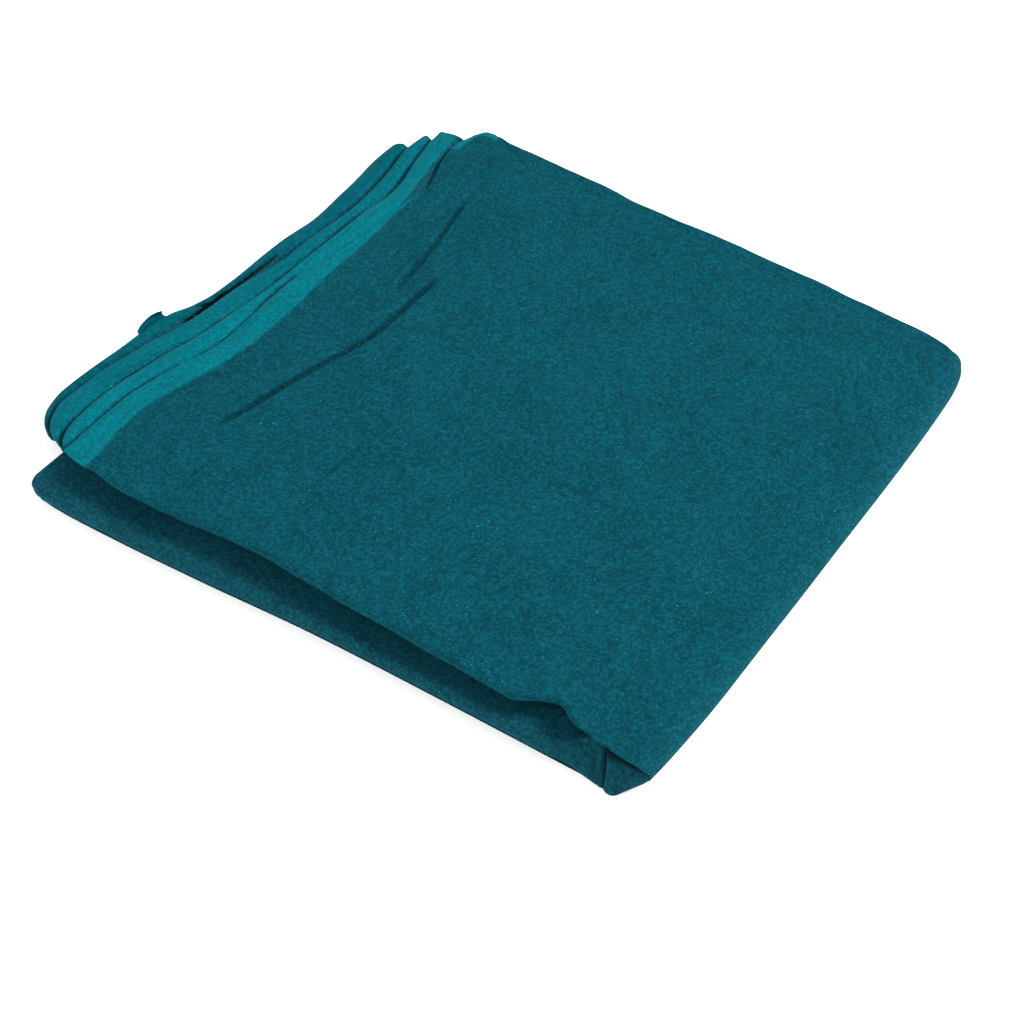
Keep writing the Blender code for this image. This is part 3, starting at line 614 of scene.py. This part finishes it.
def fan_sheet(edge, out, uneven, inner_x, depth, seed, count):
    """One thin ply of the fan, from its woven edge in under the top."""
    line = even_run(edge, count)[::-1]
    step = np.gradient(line, axis=0)
    outward = np.stack([-step[:, 1], step[:, 0]], -1) / np.linalg.norm(step, axis=1, keepdims=True)
    y = line[:, 1]
    wobble = np.sin(y / (11.0 + seed) + 2.1 * seed) + 0.6 * np.sin(y / (5.3 + 0.4 * seed) + seed)
    near_slot, far_slot, pulled_in = SLOT_OPEN
    slotted = ramp(y, *near_slot) * ramp(y, *far_slot) * (edge is THIRD_EDGE)
    hidden = 4.0 * ramp(y, -2, 10) * (edge is FIRST_EDGE)
    stands_out = (out + uneven * 0.5 * wobble) * (1 - slotted) - pulled_in * slotted - hidden
    line = line + outward * stands_out[:, None]
    inner_y = np.linspace(follow(TOP_FRONT, inner_x) + FAN_TUCK, FAN_BACK, count)
    inner = np.stack([np.full(count, inner_x), inner_y], -1)
    plan = line[:, None, :] + (inner - line)[:, None, :] * FAN_SHARES[None, :, None]
    x, y = plan[..., 0], plan[..., 1]
    from_edge = np.linalg.norm(plan - line[:, None, :], axis=2)
    slots = creased(x, y, SLOTS, SLOT_FADE) * (edge is FOURTH_EDGE)
    droop = EDGE_DROOP[0] * (1 - ramp(from_edge, 0, EDGE_DROOP[1]))
    droop = droop + CORNER_DROOP * ramp(y, *CORNER_FROM) * ramp(x, *CORNER_FROM)
    down, grooved = pressed_edges(x, y, depth)
    z = top_height(x, y) - depth + fan_ripple(x, y) - slots - down - droop
    wide = OUTER_SELVEDGE if edge is THIRD_EDGE or edge is FOURTH_EDGE else UPPER_SELVEDGE
    edge_and_shade = 1 - ramp(from_edge, wide - 2, wide + 2)
    # Painted shade: the light edge gives way to the body colour in the grooves and at the front ends
    edge_and_shade = edge_and_shade * (1 - 0.9 * ramp(grooved, 0.2, 0.95)) * (1 - 0.75 * ramp(y, -122, -131))
    edge_and_shade = edge_and_shade * (1 - ramp(y, 126, 130) * ramp(x, -120.5, -118.0))
    # Painted shade, below zero, in the grooves and slots
    edge_and_shade = edge_and_shade - GROOVE_SHADE[0] * ramp(grooved, *GROOVE_SHADE[1:])
    edge_and_shade = edge_and_shade - SLOT_SHADE[0] * ramp(slots, *SLOT_SHADE[1:])
    along = np.broadcast_to(y[:, :1], y.shape) + 9.0 * seed
    return np.stack([x, y, z], -1), np.stack([from_edge + 17.0 * seed, along, edge_and_shade], -1)


# Colours of each group of plies, with painted shade: the deeper ones lie in more shade and show a darker,
# bluer edge
SHADED_TEAL = (0.0032, 0.0440, 0.0620)
EDGE_SHADES = {
    "edge_ply_2": (0.0002, 0.1040, 0.1330), "edge_ply_3": (0.0002, 0.0880, 0.1150),
    "edge_ply_4": (0.0002, 0.0660, 0.0920),
}
edge_voiles = {node: voile("voile_" + node, SHADED_TEAL, shaded_edge) for node, shaded_edge in EDGE_SHADES.items()}
for seed, (name, edge, out, uneven, inner_x, depth, node) in reversed(list(enumerate(FAN))):
    count = FAN_ROWS * 2 if name == "fan_4" else FAN_ROWS
    grid, coordinates = fan_sheet(edge, out, uneven, inner_x, depth, seed, count)
    ply = cloth_mesh(name, [(grid, FAN_PLY, coordinates)], edge_voiles[node])
    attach(ply, "root")
    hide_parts(node)


# The curled tab: a corner of a ply deep in the fan, bent up where it stands out past the others.
# It is the same woven edge, with the same painted shade as the outermost plies beside it, so as dark as they
# are.
# How far out it reaches: along, across. Then its roll, its depth under the top, and its share of light edge
CURL_ROWS = ((-52, -158.0), (-49.5, -158.8), (-46, -159.2), (-42, -159.3), (-39, -158.8), (-36.5, -157.6))
CURL_RADIUS = 1.5
CURL_DEPTH = 5.8
CURL_LIGHT = 0.72
CURL_FLAT_POINTS = 8

curl_at = spaced(CURL_ROWS[0][0], 0.5, CURL_ROWS[-1][0])
reach = follow(CURL_ROWS, curl_at)
turns = np.radians(spaced(170, 10, 0))
curl = []
for y, edge_x in zip(curl_at, reach):
    foot = top_height(edge_x, y) - CURL_DEPTH
    radius = CURL_RADIUS * (0.75 + 0.25 * math.sin((y + 52) / 5.0))
    rolled = [(edge_x - radius * math.sin(t), y, foot + radius * (1 - math.cos(t))) for t in turns]
    flat_x = spaced(edge_x + 1.5, 2.5, -136)
    flat = [(x, y, top_height(x, y) - CURL_DEPTH + fan_ripple(x, y)) for x in flat_x[:CURL_FLAT_POINTS]]
    curl.append(rolled + flat)
grid = np.array(curl, float)
coordinates = np.stack([travelled(grid, 1), travelled(grid, 0), np.full(grid.shape[:2], CURL_LIGHT)], -1)
curled_tab = cloth_mesh("curled_tab", [(grid, FAN_PLY, coordinates)], edge_voiles["edge_ply_4"])
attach(curled_tab, "root")
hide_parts("curl_tab")


# The folds behind the top's back edge: the long cloth turns back on itself here again and again, so each
# fold wraps fewer layers than the one above. The largest rolls out furthest and shows behind the top.
LOWER_HALF_THICK = 8.6
# Underside of the upper half, over the lower half: across, height
MOUTH_SECTION = ((-162, 3.6), (-110, 3.4), (-40, 2.6), (40, 1.6), (110, 0.8), (140, 0.5))
# Plan of the largest fold's edge, and of the line from which it comes over: across, along
BACK_FOLD = (
    (-112, 142), (-108, 145.5), (-102, 147), (-94, 145.5), (-60, 146), (-13, 144.6), (40, 145.8),
    (100, 146.6), (130, 147), (142, 145.8), (150, 142.6),
)
BACK_START = ((-112, 137.5), (-88, 126), (-60, 124), (142, 124))
# Folds from the top down: share of the height, set in, unevenness
BACK_FOLDS = ((0.50, 0.0, 0.5), (0.27, 1.3, 0.7), (0.15, 2.6, 0.8), (0.08, 3.8, 0.9))
BACK_COLUMNS = spaced(-111.5, 2.5, 136, 1.5, 149.5)
FOLD_DEGREES = spaced(0, 12, 180)
BACK_RETURN = 14.0
FOLD_PLY = 0.34
# Room left over the mouth and round each fold, and how far the first one keeps in from the plan
MOUTH_ROOM, FOLD_ROOM, FIRST_IN = 0.4, 0.12, 0.3


def mouth_roof(x):
    """Height of the upper half's underside."""
    return LOWER_HALF_THICK + follow(MOUTH_SECTION, x)


def fold_sheet(columns, edge, over, radius, start, returned):
    """A fold that comes over the top from a start line, rolls down round its edge and runs back in below."""
    grid = []
    for share in (0.0, 0.3, 0.55, 0.75, 0.9, 0.97):
        y = start + (edge - radius - start) * share
        grid.append(np.stack([columns, y, over(columns, y)], -1))
    crown = over(columns, edge - radius)
    for degrees in FOLD_DEGREES:
        turn = math.radians(degrees)
        y = edge - radius + radius * math.sin(turn)
        grid.append(np.stack([columns, y, crown - radius * (1 - math.cos(turn))], -1))
    for share in (0.25, 0.6, 1.0):
        grid.append(np.stack([columns, edge - radius - returned * share, crown - 2 * radius], -1))
    return np.array(grid)


sheets = []
taken = 0.0
for seed, (share, inset, uneven) in enumerate(BACK_FOLDS):
    wobble = np.sin(BACK_COLUMNS / (23.0 + 5 * seed) + seed) + 0.5 * np.sin(BACK_COLUMNS / 9.0 + 2 * seed)
    edge = follow(BACK_FOLD, BACK_COLUMNS) - inset + uneven * wobble / 2 - (FIRST_IN if seed == 0 else 0.0)
    ceiling = top_height(BACK_COLUMNS, edge) - PLY_PITCH
    height = ceiling - mouth_roof(BACK_COLUMNS) - MOUTH_ROOM
    radius = height * share / 2 - FOLD_ROOM
    start = follow(BACK_START, BACK_COLUMNS) if seed == 0 else edge - BACK_RETURN

    def over(x, y, sunk=height * taken):
        return top_height(x, y) - PLY_PITCH - sunk

    grid = fold_sheet(BACK_COLUMNS, edge, over, radius, start, BACK_RETURN)
    along = travelled(grid, 0) + 31.0 * seed
    coordinates = np.stack([travelled(grid, 1), along, np.zeros(grid.shape[:2])], -1)
    sheets.append((grid, FOLD_PLY, coordinates))
    taken += share
back_folds = cloth_mesh("back_folds", sheets, body_voile)
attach(back_folds, "root")
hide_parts("back_ply")


# The lower half's top cloth: it lies over the lower leaves, rolls down to the surface along the front, where
# it sticks out past the upper half, and down over the folds at the back. At the left it turns under itself.
# Its left side, and how deep it sinks there, over how far in
LOWER_LEFT = -133.0
LEFT_SINK = (0.5, 9)
LOWER_COLUMNS = spaced(-132.4, 0.8, -126, 3.0, -90, 5.0, 112, 1.8, 133, 0.4, 141.6)
# Radius of its rolls at the front and the back, and how far round the front one turns, in degrees
LOWER_FRONT_ROLL = 3.85
LOWER_BACK_ROLL = 2.1
LOWER_TURN = 158
# The fold at its left: radius, and how far the cloth runs back in under itself
LEFT_FOLD = 0.55
LEFT_RETURN = 9.0
# The crease at the spine's front end, from head to foot, into which the front is drawn: across, along, height
TUCK_CREASE = ((140.6, -119.4, 14.2), (143.4, -125.0, 8.2), (146.8, -130.4, 0.5))
DRAWN_IN = (121, 141.6)
# The cloth stands this far clear of the crease. It is raised to the crease's head within this run.
CREASE_CLEAR = (0.2, 0.3, -0.2)
HEAD_RUN = 7
# Soft folds beside the crease: height, place across, half width
PLEAT, PINCH = (0.9, 138.0, 0.8), (2.0, 141.6, 1.1)


def tuck_crease(share):
    """Point of the crease at a share of the way from its head to its foot."""
    head, middle, foot = (np.array(point) for point in TUCK_CREASE)
    return head * (1 - share) ** 2 + 2 * middle * share * (1 - share) + foot * share ** 2


def lower_height(x, y):
    """Face of the lower half, a little uneven and sunk at its left."""
    deep, run = LEFT_SINK
    sunk = deep * (1 - ramp(x, LOWER_LEFT, LOWER_LEFT + run))
    return LOWER_HALF_THICK - 0.1 + 0.35 * settled(x + 40, y - 25) - sunk


lower_rows = [("front", degrees) for degrees in spaced(LOWER_TURN, 9, 0)]
lower_rows += [("flat", share) for share in spaced(0.006, 0.012, 0.12, 0.06, 0.9, 0.02, 0.995)]
lower_rows += [("back", degrees) for degrees in spaced(0, 15, 180)]
grid = []
for kind, at in lower_rows:
    x = LOWER_COLUMNS.copy()
    front = follow(LOWER_FRONT, x) + LOWER_FRONT_ROLL
    back = follow(LOWER_BACK, x) - LOWER_BACK_ROLL
    drawn = ramp(x, *DRAWN_IN)
    if kind == "front":
        turn = math.radians(at)
        share = at / LOWER_TURN
        y = front - LOWER_FRONT_ROLL * math.sin(turn)
        z = lower_height(x, front) - LOWER_FRONT_ROLL * (1 - math.cos(turn))
        crease = tuck_crease(share) + CREASE_CLEAR
        pleat, pinch = (high * np.exp(-((x - place) / half) ** 2) for high, place, half in (PLEAT, PINCH))
        pleat = pleat * ramp(share, 0.2, 0.5) * ramp(share, 1.0, 0.7)
        pinch = pinch * (0.15 + 0.85 * ramp(share, 1.0, 0.6))
        x = x + (crease[0] - DRAWN_IN[1]) * drawn
        y = y * (1 - drawn) + crease[1] * drawn + pleat + pinch
        z = z * (1 - drawn) + crease[2] * drawn
    elif kind == "flat":
        crease = tuck_crease(0.0) + CREASE_CLEAR
        start = front * (1 - drawn) + crease[1] * drawn
        y = start + (back - start) * at
        near = drawn * (1 - ramp(y - start, 0, HEAD_RUN))
        z = lower_height(x, y) + (crease[2] - lower_height(x, front)) * near
        x = x + (crease[0] - DRAWN_IN[1]) * near
    else:
        turn = math.radians(at)
        y = back + LOWER_BACK_ROLL * math.sin(turn)
        z = lower_height(x, back) - LOWER_BACK_ROLL * (1 - math.cos(turn))
    grid.append(np.stack([x, y, z], -1))
grid = np.array(grid)
normal = facing(grid)
left_steps = [(-inwards, 2 * LEFT_FOLD) for inwards in spaced(LEFT_RETURN, 3.0, 0)[:-1]]
for turn in np.radians(spaced(0, 30, 180))[:-1]:
    left_steps.append((LEFT_FOLD * math.sin(turn), LEFT_FOLD * (1 + math.cos(turn))))
turned = [grid[:, 0] - np.array([out, 0, 0]) - normal[:, 0] * drop for out, drop in left_steps]
grid = np.concatenate([np.stack(turned, axis=1), grid], axis=1)
# Painted shade darkens the crease itself, from its head down
at_front = np.array([kind == "front" or (kind == "flat" and at < 0.03) for kind, at in lower_rows])
painted_crease_shade = np.zeros(grid.shape[:2])
painted_crease_shade[:, len(turned):] = 0.9 * ramp(LOWER_COLUMNS, 140.3, 141.5) * at_front[:, None]
coordinates = np.stack([travelled(grid, 1), travelled(grid, 0), -painted_crease_shade], -1)
shaded_voile = voile("voile_shaded", SHADED_TEAL, EDGE_TURQUOISE)
lower_cloth = cloth_mesh("lower_cloth", [(grid, FOLD_PLY, coordinates)], shaded_voile)
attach(lower_cloth, "root")
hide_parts("lower_ply")


# The hidden leaves: all the layers between the outer cloth and the mouth, each one running through the upper
# half, round the spine and back through the lower half. They show in the mouth and at the open sides.
# Each one fills this share of its place in the stack
LEAVES = 6
LEAF_FILLS = 0.84
LEAF_UPPER = spaced(-104, 0.7, -100, 4.0, -60, 9.0, 110, 4.0, 141)
LEAF_LOWER = spaced(139, 6.0, 100, 12.0, -120, 2.5, -127, 0.7, -130.5)
LEAF_ARC = spaced(10, 12, 180)[:-1]
LEAF_ROWS = spaced(0.0, 0.003, 0.006, 0.012, 0.06, 0.05, 0.94, 0.012, 0.994, 0.003, 1.0)
# Each leaf's ends, from the outermost in: set in at the front, at the back, at the left
LEAF_ENDS = (
    (1.0, 2.0, 0.0), (3.5, 1.2, 2.2), (5.5, 3.0, 0.8), (8.0, 1.8, 3.4), (10.5, 3.4, 1.6), (12.5, 2.4, 3.0),
)
# Room over the leaves: under the top, under the fan (from where to where across, how deep), under the back
# folds (from where to where along), and under the longest crease (across, half width from and to, along from
# and to at each end, how deep)
UNDER_TOP = 1.2
LEAF_FAN = (-64, -90, 4.35)
LEAF_FOLD = (-22, -10)
LEAF_CREASE = (-64, (7, 13), (-60, -35), (84, 70), 2.4)
# How much of the spine's radius and of the lower half's height the leaves share
LEAF_SPINE, LEAF_LOWER_HALF = SPINE_RADIUS - 1.6, LOWER_HALF_THICK - 2.2


def leaf_sheet(level, front_in, back_in, left_in):
    """One leaf as a closed pad with rounded ends: upper half, round the spine, lower half."""
    share = (level + 0.5) / LEAVES
    rows = []
    for v in LEAF_ROWS:
        x = LEAF_UPPER + left_in * (1 - ramp(LEAF_UPPER, -104, -90))
        wobble = 0.8 * np.sin(x / (17.0 + 3 * level) + 2 * level) + 0.4 * np.sin(x / 7.0 + level)
        front = follow(TOP_FRONT, x) + FRONT_ROLL + 1.2 + front_in * (1 - 0.7 * ramp(x, 100, 141)) + wobble
        back = follow(BACK_FOLD, x) - 6.5 - back_in + 0.5 * wobble
        y = front * (1 - v) + back * v
        roof = mouth_roof(x) + 2.0 * ramp(y - back, -8, -2)
        fanned = LEAF_FAN[2] * ramp(x, *LEAF_FAN[:2])
        folded = PLY_PITCH * ramp(y - follow(BACK_START, x), *LEAF_FOLD)
        crease_x, halves, front_end, back_end, deep = LEAF_CREASE
        pressed = deep * (1 - ramp(abs(x - crease_x), *halves)) * ramp(y, *front_end) * ramp(y, *back_end)
        ceiling = top_height(x, y) - UNDER_TOP - np.maximum(np.maximum(fanned, folded), pressed)
        upper = np.stack([x, y, ceiling - (ceiling - roof) * share], -1)
        depth = 0.9 + LEAF_SPINE * share
        arc = spine_line(LEAF_ARC, v, 5.5 + 0.4 * front_in, depth, 0.4)
        lx = LEAF_LOWER + left_in * ramp(LEAF_LOWER, -116, -130)
        lower_front = follow(LOWER_FRONT, lx) + LOWER_FRONT_ROLL + 0.6 + 0.25 * front_in
        lower_front = lower_front + 7.0 * ramp(lx, 100, 139)
        lower_back = follow(LOWER_BACK, lx) - LOWER_BACK_ROLL - 1.6 - back_in
        ly = lower_front * (1 - v) + lower_back * v
        lz = 1.0 + LEAF_LOWER_HALF * share
        rows.append(np.concatenate([upper, arc, np.stack([lx, ly, np.full_like(ly, lz)], -1)]))
    grid = np.array(rows)
    count = len(LEAF_UPPER)
    roomy = np.full(grid.shape[:2], LEAF_LOWER_HALF / LEAVES)
    x, y = grid[:, :count, 0], grid[:, :count, 1]
    ceiling = top_height(x, y) - UNDER_TOP - LEAF_FAN[2] * ramp(x, *LEAF_FAN[:2])
    roomy[:, :count] = (ceiling - mouth_roof(x)) / LEAVES
    roomy[:, count:count + len(LEAF_ARC)] = LEAF_SPINE / LEAVES
    across = travelled(grid, 1)
    along = travelled(grid, 0)
    to_side = np.minimum(across, across[:, -1:] - across)
    to_end = np.minimum(to_side, np.minimum(along, along[-1:] - along))
    half = LEAF_FILLS / 2 * roomy
    rounded = np.sqrt(np.clip(1 - (1 - np.clip(to_end / half, 0.02, 1)) ** 2, 0.02, 1))
    thick = 2 * half * rounded
    face = grid + facing(grid) * (thick / 2)[..., None]
    cloth = np.stack([across, along + 13.0 * level, np.zeros(grid.shape[:2])], -1)
    return face, thick, cloth


sheets = [leaf_sheet(level, *ends) for level, ends in enumerate(LEAF_ENDS)]
hidden_folds = cloth_mesh("hidden_folds", sheets, shaded_voile)
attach(hidden_folds, "root")
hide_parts("folded_core")


# The left side of the lower half is the middle fold of the cloth's width: each layer turns back on itself
# there, so it is a stack of small folds, a little uneven, between the lower cloth and the outer one.
MID_FOLDS = 6
MID_RUN = spaced(-140, 3.0, 132)
# Height of the lowest one's foot, from fold to fold, the radius of each, how far in from the side they
# stand, how far each runs back in, and its cloth's thickness
MID_FOOT, MID_PITCH = 0.75, (LOWER_HALF_THICK - 2.3) / MID_FOLDS
MID_RADIUS = MID_PITCH * 0.44
MID_IN, MID_RETURN, MID_PLY = 1.4, 9.0, 0.3

sheets = []
for level in range(MID_FOLDS):
    crown = MID_FOOT + MID_PITCH * (level + 1)
    out = 0.9 * math.sin(2.2 * level + 1) + 0.5 * np.sin(MID_RUN / (19.0 + 4 * level) + level)
    side = LOWER_LEFT + MID_IN - out
    section = [(MID_RADIUS + MID_RETURN * share, 0.0) for share in (1, 0.5)]
    for turn in np.radians(spaced(0, 22, 180)):
        section.append((MID_RADIUS * (1 - math.sin(turn)), MID_RADIUS * (1 - math.cos(turn))))
    section += [(MID_RADIUS + MID_RETURN * share, 2 * MID_RADIUS) for share in (0.5, 1)]
    lines = [np.stack([side + inwards, MID_RUN, np.full_like(MID_RUN, crown - drop)], -1)
             for inwards, drop in section]
    grid = np.array(lines)
    along = travelled(grid, 1) + 11.0 * level
    coordinates = np.stack([travelled(grid, 0), along, np.zeros(grid.shape[:2])], -1)
    grid, coordinates = grid[:, ::-1], coordinates[:, ::-1]
    sheets.append((grid, MID_PLY, coordinates))
mid_folds = cloth_mesh("mid_folds", sheets, shaded_voile)
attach(mid_folds, "root")
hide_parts("folded_core")


# The tuck at the front end of the spine: the outer layers are pinched together there, with one sharp crease
# down the corner and the cloth drawn tight from it round the spine's open end.
# How the cloth leaves the crease, and how far it runs straight on from the spine
TUCK_LEAVES, TUCK_RUNS = (3.6, -1.7), 9.5
# Where it meets the spine, in degrees round it from the tuck's head to its foot
TUCK_DEGREES = (44, 168)
# Its columns, from the crease to the spine, and its rows, from head to foot
TUCK_SHARES = spaced(0.0, 0.015, 0.18, 0.04, 1.0)
TUCK_ROWS = 44
# Height of the pull lines across it, and of the pinch beside the crease
PULL_LINES, TUCK_PINCH = 0.16, 2.0

rows = []
b = TUCK_SHARES[:, None]
for t in np.linspace(0, 1, TUCK_ROWS):
    degrees = TUCK_DEGREES[0] + (TUCK_DEGREES[1] - TUCK_DEGREES[0]) * t
    outer = spine_line(np.array([degrees]), 0.0, 4.0 - 2.6 * ramp(t, 0, 0.5), VOILE + 0.08)[0]
    crease = tuck_crease(t)
    fullness = 0.05 + 0.95 * ramp(t, 0, 0.62)
    leaves = crease + np.array((*TUCK_LEAVES, 0)) * fullness
    runs = outer - np.array((-0.2 * fullness, TUCK_RUNS * fullness, 0))
    curve = (1 - b) ** 3 * crease + 3 * b * (1 - b) ** 2 * leaves
    curve = curve + 3 * b * b * (1 - b) * runs + b ** 3 * outer
    drawn = PULL_LINES * np.sin(8.0 * TUCK_SHARES - 5.0 * t) * np.sin(math.pi * TUCK_SHARES)
    pinch = TUCK_PINCH * np.exp(-(TUCK_SHARES / 0.07) ** 2) * (0.15 + 0.85 * ramp(t, 1.0, 0.6))
    curve[:, 1] += drawn + pinch
    rows.append(curve)
grid = np.array(rows)[::-1]
# Painted shade darkens it in the crease and under the top's edge
from_head = np.linspace(1, 0, TUCK_ROWS)[:, None]
shadow = np.maximum(0.9 * ramp(TUCK_SHARES, 0.05, 0.01), 0.8 * ramp(from_head, 0.40, 0.20))
coordinates = np.stack([travelled(grid, 1), travelled(grid, 0), -shadow], -1)
corner_tuck = cloth_mesh("corner_tuck_cloth", [(grid, FOLD_PLY, coordinates)], shaded_voile)
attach(corner_tuck, "root")
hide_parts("corner_tuck")


# The setting: a plain white table, lit softly from below as well, a large panel behind to the right, a weaker
# one in front and white light from all round. The camera is where the photograph was taken, high over the
# front right corner. Sizes are in metres.
FLOOR_HALF, FLOOR_DROP = 4.0, 0.0003
FLOOR_GLOW = 0.35

floor_mesh = bpy.data.meshes.new("floor")
corners = [(x * FLOOR_HALF, y * FLOOR_HALF, -FLOOR_DROP) for x, y in ((-1, -1), (1, -1), (1, 1), (-1, 1))]
floor_mesh.from_pydata(corners, [], [(0, 1, 2, 3)])
floor = bpy.data.objects.new("floor", floor_mesh)
bpy.context.scene.collection.objects.link(floor)
paper = bpy.data.materials.new("white_paper")
paper.use_nodes = True
for socket, value in (
    ("Base Color", (0.95, 0.95, 0.95, 1)), ("Roughness", 1.0), ("Specular IOR Level", 0.0),
    ("Emission Color", (1, 1, 1, 1)), ("Emission Strength", FLOOR_GLOW),
):
    paper.node_tree.nodes["Principled BSDF"].inputs[socket].default_value = value
floor_mesh.materials.append(paper)


def panel(name, place, side, power):
    """A square soft light that faces the middle of the pack."""
    lamp = bpy.data.lights.new(name, "AREA")
    lamp.shape = "SQUARE"
    lamp.size = side
    lamp.energy = power
    holder = bpy.data.objects.new(name, lamp)
    holder.location = place
    holder.rotation_euler = (-Vector(place)).to_track_quat("-Z", "Y").to_euler()
    bpy.context.scene.collection.objects.link(holder)


panel("key_panel", (1.90, 1.60, 2.10), 1.30, 168.0)
panel("front_panel", (-1.3, -1.8, 1.1), 1.5, 44.0)
surround = bpy.data.worlds.new("surround")
surround.use_nodes = True
surround.node_tree.nodes["Background"].inputs["Color"].default_value = (1, 1, 1, 1)
surround.node_tree.nodes["Background"].inputs["Strength"].default_value = 0.50
bpy.context.scene.world = surround
bpy.context.scene.view_settings.view_transform = "Standard"

# The camera looks at this point, from this direction and distance. Its lens sees as narrow an angle as the
# photograph's did: lens and sensor in millimetres.
TARGET = Vector((0.0379, -0.0360, 0.0))
AZIMUTH, ELEVATION, DISTANCE = math.radians(35.8), math.radians(48.0), 0.8381
LENS, SENSOR = 70.3125, 36.0

camera = bpy.data.cameras.new("camera")
camera.lens = LENS
camera.sensor_width = SENSOR
camera.clip_start = 0.05
view = bpy.data.objects.new("camera", camera)
away = Vector((
    math.sin(AZIMUTH) * math.cos(ELEVATION), -math.cos(AZIMUTH) * math.cos(ELEVATION), math.sin(ELEVATION),
))
view.location = TARGET + away * DISTANCE
view.rotation_euler = (math.pi / 2 - ELEVATION, 0.0, AZIMUTH)
bpy.context.scene.collection.objects.link(view)
bpy.context.scene.camera = view
